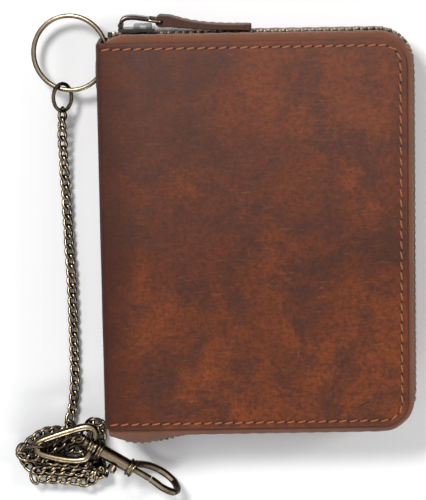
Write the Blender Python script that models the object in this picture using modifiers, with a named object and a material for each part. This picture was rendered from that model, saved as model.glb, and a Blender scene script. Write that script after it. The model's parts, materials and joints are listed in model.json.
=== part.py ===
"""Zip-around chain wallet, lying on its back cover, with its key ring, curb chain and trigger snap hook.

Units are metres. +Z is the wallet's thickness, +Y its top edge, +X the side away from the spine.
The origin is on the outer face of the back cover, at its middle.
"""
import math

import bmesh
import bpy
from mathutils import Matrix, Vector

MM = 0.001

# Wallet body
WIDTH = 93.5 * MM            # spine to the far leather edge
HEIGHT = 119.0 * MM          # top to bottom leather edge
THICK = 24.0 * MM            # outer face to outer face
COVER_T = 1.6 * MM           # leather of the two covers
SPINE_T = 1.1 * MM           # leather of the spine, skived thinner
CORNER_R = 8.0 * MM          # corners away from the spine
GAP = 0.3 * MM               # between pieces that touch

# Zip
TAPE_T = 0.6 * MM
TAPE_HEM = 5.0 * MM          # width sewn under the cover's edge
TAPE_OUT = 2.0 * MM          # how far the tape stands past the leather edge
ZIP_START = 5.2 * MM         # tape's start, measured from the spine's outer face
TOOTH_OUT = 2.4 * MM         # tooth tips past the leather edge
TOOTH_DEEP = 1.5 * MM
TOOTH_HIGH = 1.6 * MM        # one row, along the wallet's thickness
ROW_GAP = 1.2 * MM           # between the rows, where the slider's post runs
TAIL_LONG = 20.5 * MM
TAIL_DEEP = 3.2 * MM
TAIL_HIGH = 8.0 * MM

# Slider, puller and tab
SLIDER_LONG = 11.0 * MM
SLIDER_WIDE = 9.0 * MM
PLATE_T = 1.0 * MM
SLIDER_START = 6.9 * MM      # slider's left end from the spine's outer face
PIN_R = 0.45 * MM
PULLER_T = 0.9 * MM
PULLER_HALF = 2.6 * MM
TAB_LONG = 27.4 * MM
TAB_WIDE = 9.0 * MM
TAB_T = 1.7 * MM

# Linings and pockets
SHEET_T = 0.7 * MM
LINING_T = 0.8 * MM
POCKET_STEP = 10.5 * MM      # how much lower each card pocket's mouth is
FRONT_CARDS = 4
BACK_CARDS = 3

# Eyelet, ring and jump link
HOLE_R = 3.1 * MM
FLANGE_R = 4.65 * MM
FLANGE_T = 0.4 * MM
BARREL_WALL = 0.3 * MM
WASHER_T = 0.3 * MM
RING_R = 11.4 * MM           # to the middle of the wire
RING_WIRE = 0.85 * MM
RING_Z = 9.0 * MM            # height where the ring passes the eyelet
RING_TILT = math.radians(9.0)
RING_LEAN = math.radians(38.11)   # ring's centre up and away from the eyelet
RING_THROUGH = 0.788 * MM    # wire's middle past the spine's outer face, in the eyelet
EYELET_BELOW = 10.55 * MM    # eyelet's centre below the top edge
LINK_WIRE = 0.6 * MM
LINK_HALF_W = 3.3 * MM
LINK_HALF_L = 4.2 * MM
LINK_ROLL = math.radians(36.0)

# Chain
CHAIN_D = 3.3 * MM
HEAP_LONG = 29.0 * MM
HEAP_WIDE = 19.6 * MM
HEAP_HIGH = 5.6 * MM
HEAP_OUT = 13.65 * MM        # heap's middle from the spine's outer face
HEAP_BELOW = 12.7 * MM       # heap's middle below the bottom edge
RUN_END_ABOVE = 10.5 * MM    # straight run's end above the heap's middle
END_LINK_FROM_FOOT = Vector((-22.65, -8.8, 7.6)) * MM
END_LINK_HALF_L = 3.6 * MM
END_LINK_HALF_W = 2.9 * MM
END_LINK_WIRE = 0.5 * MM
END_LINK_ROLL = math.radians(70.0)

# Hook: its own x runs from the swivel to the tip, its y from the prong to the thumb knob
HOOK_FROM_FOOT = Vector((-3.85, -8.7, 8.3)) * MM
HOOK_TURN = math.radians(-31.7)
HOOK_ROLL = math.radians(70.0)
KNOB_TURN = math.radians(40.0)   # thumb knob and its slot, round the barrel from the side away from the prong
BARREL_R = 2.1 * MM
BARREL_FROM = 0.9 * MM
BARREL_TO = 14.2 * MM
COLLAR_R = 2.7 * MM
COLLAR_LONG = 2.0 * MM
BORE_R = 1.3 * MM
BORE_FROM = 2.2 * MM
BOLT_R = 1.0 * MM
BOLT_FROM = 7.3 * MM
BOLT_TO = 20.2 * MM
BOLT_TRAVEL = 3.8 * MM
KNOB_X = 8.0 * MM
KNOB_R = 1.5 * MM
KNOB_NECK_R = 0.55 * MM
PRONG_R = 1.15 * MM
EYE_WIRE = 1.1 * MM
BOSS_R = 2.7 * MM
SWIVEL_RIM_LONG = 1.5 * MM   # rim round the barrel's swivel end
BOSS_HALF = 1.4 * MM
POST_R = 0.9 * MM
POST_CLEAR = 0.25 * MM
POST_HEAD_R = 1.8 * MM
POST_HEAD_T = 1.1 * MM
SPRING_R = 0.85 * MM
SPRING_WIRE = 0.14 * MM

LEFT = -WIDTH / 2
RIGHT = WIDTH / 2
TOP = HEIGHT / 2
MID_Z = THICK / 2
TAPE_START = LEFT + ZIP_START
FOOT = Vector((LEFT, -TOP, 0.0))     # bottom end of the spine
EYELET_Y = TOP - EYELET_BELOW
RING_X = LEFT - (RING_R - RING_THROUGH) * math.cos(RING_LEAN)
RING_Y = EYELET_Y + (RING_R - RING_THROUGH) * math.sin(RING_LEAN)
ARC_STEPS = 6


# ---------------------------------------------------------------- scene and materials

def clear_scene():
    for obj in list(bpy.data.objects):
        bpy.data.objects.remove(obj, do_unlink=True)


def new_collection(name):
    collection = bpy.data.collections.new(name)
    bpy.context.scene.collection.children.link(collection)
    return collection


clear_scene()
PARTS = new_collection("chain_wallet")
CUTTERS = new_collection("cutters")


def material(name, colour, roughness, metallic):
    made = bpy.data.materials.new(name)
    made.use_nodes = True
    shader = made.node_tree.nodes["Principled BSDF"]
    shader.inputs["Base Color"].default_value = (*colour, 1.0)
    shader.inputs["Roughness"].default_value = roughness
    shader.inputs["Metallic"].default_value = metallic
    return made


LOOKS = {
    "leather": ((0.16, 0.055, 0.033), 0.55, 0.0),
    "lining": ((0.10, 0.04, 0.022), 0.7, 0.0),
    "tape": ((0.22, 0.11, 0.05), 0.9, 0.0),
    "teeth": ((0.30, 0.23, 0.14), 0.4, 1.0),
    "slider": ((0.20, 0.17, 0.13), 0.35, 1.0),
    "brass": ((0.42, 0.33, 0.21), 0.33, 1.0),
}


def place(obj, name, look):
    """Name the object, put it with the parts and give it its own material."""
    obj.name = name
    obj.data.name = name
    for owner in list(obj.users_collection):
        owner.objects.unlink(obj)
    PARTS.objects.link(obj)
    obj.data.materials.clear()
    obj.data.materials.append(material(name, *LOOKS[look]))
    return obj


def cutter(obj):
    for owner in list(obj.users_collection):
        owner.objects.unlink(obj)
    CUTTERS.objects.link(obj)
    obj.hide_render = True
    obj.display_type = "WIRE"
    return obj


# ---------------------------------------------------------------- shape helpers

def fillet(points, radii):
    """A closed outline with its corners rounded; a radius of 0 keeps a corner sharp."""
    rounded = []
    count = len(points)
    for index, radius in enumerate(radii):
        corner = Vector(points[index])
        if radius == 0:
            rounded.append(corner)
            continue
        before = (Vector(points[index - 1]) - corner).normalized()
        after = (Vector(points[(index + 1) % count]) - corner).normalized()
        half = before.angle(after) / 2
        centre = corner + (before + after).normalized() * radius / math.sin(half)
        first = corner + before * radius / math.tan(half) - centre
        sweep = first.angle_signed(corner + after * radius / math.tan(half) - centre)
        for step in range(ARC_STEPS + 1):
            angle = -sweep * step / ARC_STEPS
            spoke = Matrix.Rotation(angle, 2) @ first
            rounded.append(centre + spoke)
    return rounded


def flat(points, low, high):
    """A flat outline in the XY plane, solid from height low to height high."""
    curve = bpy.data.curves.new("outline", "CURVE")
    curve.dimensions = "2D"
    curve.fill_mode = "BOTH"
    curve.extrude = (high - low) / 2
    spline = curve.splines.new("POLY")
    spline.points.add(len(points) - 1)
    for point, target in zip(points, spline.points):
        target.co = (point[0], point[1], 0.0, 1.0)
    spline.use_cyclic_u = True
    curve.resolution_u = 1
    obj = bpy.data.objects.new("outline", curve)
    obj.location = (0.0, 0.0, (high + low) / 2)
    PARTS.objects.link(obj)
    return obj


def wire(points, radius, cyclic=False, matrix=None):
    """A round wire along points."""
    curve = bpy.data.curves.new("wire", "CURVE")
    curve.dimensions = "3D"
    curve.bevel_depth = radius
    curve.bevel_resolution = 2
    curve.use_fill_caps = True
    spline = curve.splines.new("POLY")
    spline.points.add(len(points) - 1)
    for point, target in zip(points, spline.points):
        target.co = (*point, 1.0)
    spline.use_cyclic_u = cyclic
    curve.resolution_u = 1
    obj = bpy.data.objects.new("wire", curve)
    if matrix is not None:
        obj.matrix_world = matrix
    PARTS.objects.link(obj)
    return obj


def as_mesh(obj):
    """The same shape as a mesh object with its caps welded."""
    bpy.context.view_layer.update()
    evaluated = obj.evaluated_get(bpy.context.evaluated_depsgraph_get())
    mesh = bpy.data.meshes.new_from_object(evaluated)
    work = bmesh.new()
    work.from_mesh(mesh)
    bmesh.ops.remove_doubles(work, verts=work.verts, dist=0.000001)
    bmesh.ops.recalc_face_normals(work, faces=work.faces)
    work.to_mesh(mesh)
    work.free()
    made = bpy.data.objects.new(obj.name, mesh)
    made.matrix_world = obj.matrix_world.copy()
    PARTS.objects.link(made)
    bpy.data.objects.remove(obj, do_unlink=True)
    return made


def box(low, high, matrix=None):
    low = Vector(low)
    high = Vector(high)
    work = bmesh.new()
    bmesh.ops.create_cube(work, size=1.0)
    size = high - low
    bmesh.ops.scale(work, vec=size, verts=work.verts)
    bmesh.ops.translate(work, vec=(high + low) / 2, verts=work.verts)
    return from_bmesh(work, matrix)


def rod(start, end, radius, sides=24, matrix=None):
    """A cylinder between two points."""
    start = Vector(start)
    end = Vector(end)
    along = end - start
    work = bmesh.new()
    bmesh.ops.create_cone(work, cap_ends=True, segments=sides, radius1=radius, radius2=radius,
                          depth=along.length)
    turn = along.to_track_quat("Z", "Y").to_matrix().to_4x4()
    bmesh.ops.transform(work, matrix=Matrix.Translation((start + end) / 2) @ turn, verts=work.verts)
    return from_bmesh(work, matrix)


def from_bmesh(work, matrix):
    mesh = bpy.data.meshes.new("solid")
    work.to_mesh(mesh)
    work.free()
    mesh.shade_smooth()
    mesh.set_sharp_from_angle(angle=math.radians(35))
    obj = bpy.data.objects.new("solid", mesh)
    if matrix is not None:
        obj.matrix_world = matrix
    PARTS.objects.link(obj)
    return obj


def combine(target, others, operation):
    """Join others to the target, or cut them from it."""
    for other in others:
        tool = target.modifiers.new(operation.lower(), "BOOLEAN")
        tool.operation = operation
        tool.object = cutter(other)
        tool.solver = "EXACT"
    return target


def bevel(obj, width):
    edge = obj.modifiers.new("edge", "BEVEL")
    edge.width = width
    edge.segments = 2
    edge.limit_method = "ANGLE"
    edge.angle_limit = math.radians(50)
    return obj


def smooth_route(points, per_span):
    """Points of a smooth curve through the given points."""
    known = [Vector(point) for point in points]
    padded = [2 * known[0] - known[1]] + known + [2 * known[-1] - known[-2]]
    route = []
    for index in range(1, len(padded) - 2):
        p0, p1, p2, p3 = padded[index - 1:index + 3]
        for step in range(per_span):
            t = step / per_span
            route.append(0.5 * (2 * p1 + (p2 - p0) * t + (2 * p0 - 5 * p1 + 4 * p2 - p3) * t ** 2
                                + (3 * p1 - p0 - 3 * p2 + p3) * t ** 3))
    route.append(known[-1])
    return route


# ---------------------------------------------------------------- covers and spine

def cover_outline():
    corners = [(LEFT, -TOP), (RIGHT, -TOP), (RIGHT, TOP), (LEFT, TOP)]
    return fillet(corners, [0, CORNER_R, CORNER_R, 0])


def covers():
    back = bevel(as_mesh(flat(cover_outline(), 0.0, COVER_T)), 0.3 * MM)
    place(back, "back_cover", "leather")
    front = bevel(as_mesh(flat(cover_outline(), THICK - COVER_T, THICK)), 0.3 * MM)
    place(front, "front_cover", "leather")


BARREL_R_OUT = HOLE_R + BARREL_WALL


def spine():
    low = (LEFT, -TOP, COVER_T + GAP)
    high = (LEFT + SPINE_T, TOP, THICK - COVER_T - GAP)
    strip = box(low, high)
    clearance = 0.05 * MM
    hole = rod((LEFT - MM, EYELET_Y, RING_Z), (LEFT + SPINE_T + MM, EYELET_Y, RING_Z),
               BARREL_R_OUT + clearance, 32)
    place(combine(strip, [hole], "DIFFERENCE"), "spine", "leather")


# ---------------------------------------------------------------- zip

def rim(out, start):
    """The wallet's edge from the zip's start round to its end, moved outwards by out."""
    radius = CORNER_R + out
    corners = [(start, TOP + out), (RIGHT + out, TOP + out), (RIGHT + out, -TOP - out), (start, -TOP - out)]
    return fillet(corners, [0, radius, radius, 0])


def band(out, depth, start, low, high):
    """A strip that follows the edge, its outer side at out and depth deep."""
    return flat(rim(out, start) + rim(out - depth, start)[::-1], low, high)


TOOTH_START = LEFT + SLIDER_START + SLIDER_LONG + GAP
ROW_LOW = MID_Z - ROW_GAP / 2 - TOOTH_HIGH
ROW_HIGH = MID_Z + ROW_GAP / 2 + TOOTH_HIGH


def zip_side(side, look_up):
    """One tape and its row of teeth; look_up is true for the front side."""
    if look_up:
        hem_low = THICK - COVER_T - GAP - TAPE_T
        wall = (ROW_HIGH + GAP, hem_low + TAPE_T)
        row = (ROW_HIGH - TOOTH_HIGH, ROW_HIGH)
        start = TOOTH_START
    else:
        hem_low = COVER_T + GAP
        wall = (hem_low, ROW_LOW - GAP)
        row = (ROW_LOW, ROW_LOW + TOOTH_HIGH)
        start = TAPE_START
    hem = as_mesh(band(TAPE_OUT, TAPE_OUT + TAPE_HEM, TAPE_START, hem_low, hem_low + TAPE_T))
    wall_strip = as_mesh(band(TAPE_OUT, TAPE_T, TAPE_START, *wall))
    place(combine(hem, [wall_strip], "UNION"), side + "_tape", "tape")
    place(as_mesh(band(TOOTH_OUT, TOOTH_DEEP, start, *row)), side + "_teeth", "teeth")


def zip_stops():
    inner = TOP + TOOTH_OUT - TOOTH_DEEP
    outer = TOP + TOOTH_OUT
    stop = box((TAPE_START - GAP - 1.4 * MM, inner, ROW_LOW),
               (TAPE_START - GAP, outer, ROW_LOW + TOOTH_HIGH))
    place(stop, "top_stop", "slider")
    end = box((TAPE_START - GAP - 1.8 * MM, -outer, ROW_LOW), (TAPE_START - GAP, -inner, ROW_HIGH))
    place(end, "end_stop", "slider")


def zip_tail():
    inner = -TOP - TOOTH_OUT - GAP
    corners = [(TAPE_START, inner), (TAPE_START, inner - TAIL_DEEP),
               (TAPE_START + TAIL_LONG, inner - TAIL_DEEP), (TAPE_START + TAIL_LONG, inner)]
    tail = flat(fillet(corners, [0, 2.0 * MM, 2.0 * MM, 0]), MID_Z - TAIL_HIGH / 2, MID_Z + TAIL_HIGH / 2)
    place(as_mesh(tail), "zip_tail", "tape")


# ---------------------------------------------------------------- slider, puller and tab

SLIDER_X = LEFT + SLIDER_START
OUTER_PLATE = TOP + TOOTH_OUT + GAP
INNER_PLATE = TOP + TOOTH_OUT - TOOTH_DEEP - GAP
PLATE_TOP = OUTER_PLATE + PLATE_T
LUG_X = SLIDER_X + 0.7 * MM
PIN_Y = PLATE_TOP + 0.9 * MM
EYE_R = 0.85 * MM
CROWN_HALF = 1.5 * MM
LUG_HALF = 1.3 * MM
BAR_X = SLIDER_X + 13.0 * MM
BAR_Y = PLATE_TOP + 2.1 * MM
BAR_R = 0.45 * MM
TAB_EYE_R = 1.55 * MM


def slider():
    low = MID_Z - SLIDER_WIDE / 2
    high = MID_Z + SLIDER_WIDE / 2
    right = SLIDER_X + SLIDER_LONG
    nose = 2.5 * MM
    shape = [(SLIDER_X, OUTER_PLATE), (right, OUTER_PLATE), (right, PLATE_TOP), (SLIDER_X, PLATE_TOP)]
    body = as_mesh(flat(shape, low, high))
    inner = box((SLIDER_X, INNER_PLATE - PLATE_T, low), (right, INNER_PLATE, high))
    post_half = ROW_GAP / 2 - GAP
    post = box((right - nose - 2.5 * MM, INNER_PLATE - PLATE_T / 2, MID_Z - post_half),
               (right - nose, OUTER_PLATE + PLATE_T / 2, MID_Z + post_half))
    lug = rod((LUG_X, PIN_Y, MID_Z - LUG_HALF), (LUG_X, PIN_Y, MID_Z + LUG_HALF), EYE_R)
    foot = box((LUG_X - 0.7 * MM, OUTER_PLATE + PLATE_T / 2, MID_Z - LUG_HALF),
               (LUG_X + 0.6 * MM, PIN_Y, MID_Z + LUG_HALF))
    combine(body, [inner, post, foot, lug], "UNION")
    pin_hole = rod((LUG_X, PIN_Y, low), (LUG_X, PIN_Y, high), PIN_R + 0.06 * MM)
    place(combine(body, [pin_hole], "DIFFERENCE"), "slider_body", "slider")
    pin_half = PULLER_HALF + 0.3 * MM
    pin = rod((LUG_X, PIN_Y, MID_Z - pin_half), (LUG_X, PIN_Y, MID_Z + pin_half), PIN_R)
    place(pin, "puller_pin", "slider")
    crown_from = SLIDER_X + 4.6 * MM
    crown_to = SLIDER_X + 10.2 * MM
    crown_low = PLATE_TOP + 0.05 * MM
    crown = as_mesh(flat(fillet([(crown_from, crown_low), (crown_to, crown_low),
                                 (crown_to, crown_low + 1.3 * MM), (crown_from, crown_low + 1.3 * MM)],
                                [0, 0, 0.5 * MM, 0.5 * MM]), MID_Z - CROWN_HALF, MID_Z + CROWN_HALF))
    mouth = box((crown_from + 1.9 * MM, crown_low - MM, MID_Z - 2 * CROWN_HALF),
                (crown_to - 1.9 * MM, crown_low + 0.7 * MM, MID_Z + 2 * CROWN_HALF))
    place(combine(crown, [mouth], "DIFFERENCE"), "slider_crown", "slider")


def puller():
    """A bent strap from the pin over the crown, ending in a wire loop that holds the tab."""
    low = MID_Z - PULLER_HALF
    high = MID_Z + PULLER_HALF
    over = BAR_Y + 0.15 * MM
    plate_end = BAR_X - 3.0 * MM
    upper = smooth_route([(LUG_X - 0.75 * MM, PIN_Y, 0), (LUG_X + 0.5 * MM, over, 0),
                          (LUG_X + 3.0 * MM, over + 0.7 * MM, 0), (plate_end, over + 0.35 * MM, 0)], 4)
    lower = smooth_route([(LUG_X + 0.35 * MM, PIN_Y - 0.1 * MM, 0), (LUG_X + 1.3 * MM, over - 0.65 * MM, 0),
                          (LUG_X + 3.2 * MM, over - 0.2 * MM, 0), (plate_end, over - 0.55 * MM, 0)], 4)
    body = as_mesh(flat([point.xy for point in upper] + [point.xy for point in lower[::-1]], low, high))
    eye = rod((LUG_X, PIN_Y, low), (LUG_X, PIN_Y, high), EYE_R)
    loop_half = TAB_WIDE / 2 + 1.1 * MM
    left = plate_end - 0.1 * MM
    corners = fillet([(left, -loop_half), (BAR_X, -loop_half), (BAR_X, loop_half), (left, loop_half)],
                     [0.9 * MM] * 4)
    loop = as_mesh(wire([(x, BAR_Y, MID_Z + z) for x, z in corners], BAR_R, cyclic=True))
    combine(body, [eye, loop], "UNION")
    slot = box((LUG_X - 2 * MM, PIN_Y - 2 * MM, MID_Z - LUG_HALF - GAP),
               (LUG_X + 1.5 * MM, over + 3 * MM, MID_Z + LUG_HALF + GAP))
    hole = rod((LUG_X, PIN_Y, low - MM), (LUG_X, PIN_Y, high + MM), PIN_R + 0.12 * MM)
    place(combine(body, [slot, hole], "DIFFERENCE"), "puller_link", "slider")


def tab():
    """Doubled leather, folded round the puller's bar and tapering down along the zip."""
    low = MID_Z - TAB_WIDE / 2
    high = MID_Z + TAB_WIDE / 2
    end_x = BAR_X + TAB_LONG
    end_y = OUTER_PLATE
    fold = []
    for step in range(11):
        angle = math.radians(75 + 195 * step / 10)
        fold.append((BAR_X + TAB_EYE_R * math.cos(angle), BAR_Y + TAB_EYE_R * math.sin(angle)))
    tail = [(BAR_X + 5 * MM, BAR_Y - 1.85 * MM), (end_x, end_y), (end_x, end_y + TAB_T),
            (BAR_X + 6 * MM, BAR_Y + 0.75 * MM)]
    body = as_mesh(flat(fold + tail, low, high))
    hole = rod((BAR_X, BAR_Y, low - MM), (BAR_X, BAR_Y, high + MM), BAR_R + 0.25 * MM)
    place(combine(body, [hole], "DIFFERENCE"), "pull_tab", "leather")


# ---------------------------------------------------------------- linings and pockets

def sheet(name, low, thick, top, look):
    """A rectangular sheet inside the wallet; its mouth edge is at height top."""
    left = LEFT + 6.0 * MM
    right = RIGHT - TAPE_HEM - GAP - 0.7 * MM
    bottom = -TOP + TAPE_HEM + 0.7 * MM
    corners = [(left, bottom), (right, bottom), (right, top), (left, top)]
    made = as_mesh(flat(fillet(corners, [2 * MM, 4 * MM, 3 * MM, 2 * MM]), low, low + thick))
    place(made, name, look)


def inside():
    top = TOP - TAPE_HEM - 0.7 * MM
    level = COVER_T + GAP
    sheet("back_lining", level, LINING_T, top, "lining")
    level += LINING_T + GAP
    sheet("note_pocket", level, SHEET_T, top - 3 * MM, "lining")
    for number in range(1, BACK_CARDS + 1):
        level += SHEET_T + GAP
        sheet(f"back_card_pocket_{number}", level, SHEET_T, top - 3 * MM - number * POCKET_STEP, "lining")
    level = THICK - COVER_T - GAP - LINING_T
    sheet("front_lining", level, LINING_T, top, "lining")
    for number in range(1, FRONT_CARDS + 1):
        level -= SHEET_T + GAP
        sheet(f"card_pocket_{number}", level, SHEET_T, top - number * POCKET_STEP, "lining")


# ---------------------------------------------------------------- eyelet, ring and links

def turned(name, profile, look):
    """A ring turned about the eyelet's axis from (radius, outward) points."""
    mesh = bpy.data.meshes.new(name)
    work = bmesh.new()
    verts = [work.verts.new((radius, 0.0, out)) for radius, out in profile]
    for index, vert in enumerate(verts):
        work.edges.new((vert, verts[(index + 1) % len(verts)]))
    work.to_mesh(mesh)
    work.free()
    obj = bpy.data.objects.new(name, mesh)
    turn = Matrix.Rotation(math.radians(-90), 4, "Y")
    obj.matrix_world = Matrix.Translation((LEFT, EYELET_Y, RING_Z)) @ turn
    PARTS.objects.link(obj)
    screw = obj.modifiers.new("turn", "SCREW")
    screw.steps = 40
    screw.render_steps = 40
    screw.use_merge_vertices = True
    screw.merge_threshold = 0.00001
    place(obj, name, look)


def eyelet():
    inner = -SPINE_T - WASHER_T - 0.05 * MM
    turned("eyelet", [(HOLE_R, FLANGE_T), (FLANGE_R - 0.2 * MM, FLANGE_T), (FLANGE_R, 0.2 * MM),
                      (FLANGE_R, 0.02 * MM), (BARREL_R_OUT, 0.02 * MM), (BARREL_R_OUT, inner),
                      (HOLE_R, inner)], "brass")
    near = -SPINE_T - 0.04 * MM
    turned("eyelet_washer", [(BARREL_R_OUT + 0.05 * MM, near), (FLANGE_R, near),
                             (FLANGE_R, near - WASHER_T), (BARREL_R_OUT + 0.05 * MM, near - WASHER_T)],
           "brass")


def ring_height(x):
    """Height of the tilted ring's plane at x."""
    return RING_Z + (x - (LEFT + SPINE_T / 2)) * math.tan(RING_TILT)


def ring():
    points = []
    for step in range(48):
        angle = math.tau * step / 48
        points.append((RING_R * math.cos(angle), RING_R * math.sin(angle), 0.0))
    frame = Matrix.Translation((RING_X, RING_Y, ring_height(RING_X))) @ Matrix.Rotation(-RING_TILT, 4, "Y")
    place(wire(points, RING_WIRE, cyclic=True, matrix=frame), "key_ring", "brass")


LINK_X = RING_X - 2.7 * MM
LINK_TOP = RING_Y - RING_R + 0.3 * MM + RING_WIRE + LINK_WIRE + 0.25 * MM


def oval(half_w, half_l, steps=28):
    return [(half_w * math.cos(math.tau * k / steps), half_l * math.sin(math.tau * k / steps), 0.0)
            for k in range(steps)]


def jump_link():
    frame = (Matrix.Translation((LINK_X, LINK_TOP - LINK_HALF_L, ring_height(LINK_X)))
             @ Matrix.Rotation(LINK_ROLL, 4, "Y"))
    place(wire(oval(LINK_HALF_W, LINK_HALF_L), LINK_WIRE, cyclic=True, matrix=frame), "jump_link", "brass")


# ---------------------------------------------------------------- chain

CHAIN_REST = CHAIN_D / 2 + 0.1 * MM
CHAIN_TOP = LINK_TOP - 2 * LINK_HALF_L - LINK_WIRE - GAP


RUN_END = FOOT.y - HEAP_BELOW + RUN_END_ABOVE
RUN_SHAPE = [(-0.1, 0.0, 5.6), (-0.5, 0.059, 4.6), (-0.3, 0.165, 3.0), (0.1, 0.282, 2.0), (0.5, 0.414, 1.75),
             (1.0, 0.536, 1.75), (1.2, 0.658, 1.75), (1.3, 0.78, 1.75), (1.1, 0.881, 1.75), (0.2, 0.957, 1.75),
             (-1.0, 1.0, 1.75)]     # (mm beside the jump link, share of the run, mm above the table)


def chain_route():
    """The chain's middle line from the jump link down to the heap."""
    points = []
    for beside, share, height in RUN_SHAPE:
        y = CHAIN_TOP + (RUN_END - CHAIN_TOP) * share
        points.append(Vector((LINK_X + beside * MM, y, height * MM)))
    return smooth_route(points, 2)


def chain():
    run = wire(chain_route(), CHAIN_D / 2)
    place(run, "chain_run", "brass")
    work = bmesh.new()
    bmesh.ops.create_uvsphere(work, u_segments=32, v_segments=16, radius=1.0)
    below = [vert for vert in work.verts if vert.co.z < 0]
    for vert in below:
        vert.co.z = vert.co.z * 0.02
    bmesh.ops.scale(work, vec=(HEAP_LONG / 2, HEAP_WIDE / 2, HEAP_HIGH), verts=work.verts)
    bmesh.ops.translate(work, vec=FOOT + Vector((-HEAP_OUT, -HEAP_BELOW, 0.15 * MM)), verts=work.verts)
    heap = from_bmesh(work, None)
    place(heap, "chain_heap", "brass")


# ---------------------------------------------------------------- hook

def hook_frame():
    return (Matrix.Translation(FOOT + HOOK_FROM_FOOT) @ Matrix.Rotation(HOOK_TURN, 4, "Z")
            @ Matrix.Rotation(math.pi - HOOK_ROLL, 4, "X"))


HOOK = hook_frame()


def eye():
    """The swivel eye: a bent wire triangle round the end link, with a boss for the post."""
    corners = [(-3.3, -4.6, 8.3), (-5.9, -11.4, 8.3), (-8.4, -12.9, 8.2), (-13.6, -12.6, 7.8),
               (-20.05, -10.7, 7.3), (-21.0, -8.7, 7.2), (-19.85, -6.8, 7.3), (-11.6, -3.7, 7.9),
               (-5.6, -2.4, 8.3)]
    closed = [FOOT + Vector(point) * MM for point in corners]
    route = smooth_route([closed[-1]] + closed + closed[:2], 3)[3:-4]
    loop = as_mesh(wire(route, EYE_WIRE, cyclic=True))
    centre = HOOK @ Vector((0, 0, 0))
    along = (HOOK @ Vector((1, 0, 0)) - centre).normalized()
    boss_at = centre + along * (BARREL_FROM - GAP - BOSS_HALF)
    boss = rod(boss_at - along * BOSS_HALF, boss_at + along * BOSS_HALF, BOSS_R)
    combine(loop, [boss], "UNION")
    bore = rod(boss_at - along * 3 * BOSS_HALF, boss_at + along * 3 * BOSS_HALF, POST_R + POST_CLEAR)
    place(combine(loop, [bore], "DIFFERENCE"), "hook_eye", "brass")


def end_link():
    frame = Matrix.Translation(FOOT + END_LINK_FROM_FOOT) @ Matrix.Rotation(END_LINK_ROLL, 4, "X")
    points = oval(END_LINK_HALF_L, END_LINK_HALF_W)
    place(wire(points, END_LINK_WIRE, cyclic=True, matrix=frame), "chain_end_link", "brass")


def hook():
    knob_frame = HOOK @ Matrix.Rotation(KNOB_TURN, 4, "X")
    barrel = rod((BARREL_FROM, 0, 0), (BARREL_TO, 0, 0), BARREL_R, 28, HOOK)
    collar = rod((BARREL_TO - COLLAR_LONG, 0, 0), (BARREL_TO + 0.01 * MM, 0, 0), COLLAR_R, 28, HOOK)
    path = [(13.2, -1.7), (15.0, -3.9), (18.6, -6.4), (23.3, -7.2), (27.6, -5.7), (29.6, -2.6), (28.6, 0.1),
            (25.4, 0.9), (22.6, 0.45), (20.5, 0.0)]
    route = smooth_route([Vector((x, y, 0)) * MM for x, y in path], 3)
    prong = as_mesh(wire(route, PRONG_R, matrix=HOOK))
    rim_end = rod((BARREL_FROM, 0, 0), (BARREL_FROM + SWIVEL_RIM_LONG, 0, 0), COLLAR_R, 28, HOOK)
    combine(barrel, [collar, rim_end, prong], "UNION")
    bore = rod((BORE_FROM, 0, 0), (BARREL_TO + 1.2 * MM, 0, 0), BORE_R, 24, HOOK)
    slot = box((KNOB_X - BOLT_TRAVEL - KNOB_NECK_R - 0.25 * MM, 0, -KNOB_NECK_R - 0.2 * MM),
               (KNOB_X + KNOB_NECK_R + 0.25 * MM, 2 * BARREL_R, KNOB_NECK_R + 0.2 * MM), knob_frame)
    place(combine(barrel, [bore, slot], "DIFFERENCE"), "hook_body", "brass")
    head_to = BARREL_FROM - 2 * BOSS_HALF - 2 * GAP
    post = rod((head_to - POST_HEAD_T / 2, 0, 0), (BARREL_FROM - 0.06 * MM, 0, 0), POST_R, 20, HOOK)
    head = rod((head_to - POST_HEAD_T, 0, 0), (head_to, 0, 0), POST_HEAD_R, 20, HOOK)
    place(combine(post, [head], "UNION"), "swivel_post", "brass")
    bolt = rod((BOLT_FROM, 0, 0), (BOLT_TO, 0, 0), BOLT_R, 20, HOOK)
    place(bolt, "bolt", "brass")
    neck = rod((KNOB_X, BOLT_R + 0.1 * MM, 0), (KNOB_X, 3.0 * MM, 0), KNOB_NECK_R, 16, knob_frame)
    cap = rod((KNOB_X, 2.6 * MM, 0), (KNOB_X, 4.4 * MM, 0), KNOB_R, 20, knob_frame)
    place(combine(neck, [cap], "UNION"), "thumb_knob", "brass")
    coil = []
    turns = 5
    spring_from = BORE_FROM + 0.25 * MM
    spring_to = BOLT_FROM - 0.3 * MM
    for step in range(turns * 10 + 1):
        angle = math.tau * step / 10
        along = spring_from + (spring_to - spring_from) * step / (turns * 10)
        coil.append((along, SPRING_R * math.cos(angle), SPRING_R * math.sin(angle)))
    place(wire(coil, SPRING_WIRE, matrix=HOOK), "bolt_spring", "brass")


covers()
spine()
zip_side("back", False)
zip_side("front", True)
zip_stops()
zip_tail()
slider()
puller()
tab()
inside()
eyelet()
ring()
jump_link()
chain()
eye()
end_link()
hook()
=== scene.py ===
"""Looks of the zip-around chain wallet: leather, stitching, zip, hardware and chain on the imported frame."""
import json
import math

import bmesh
import bpy
from mathutils import Matrix, Vector, noise


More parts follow.
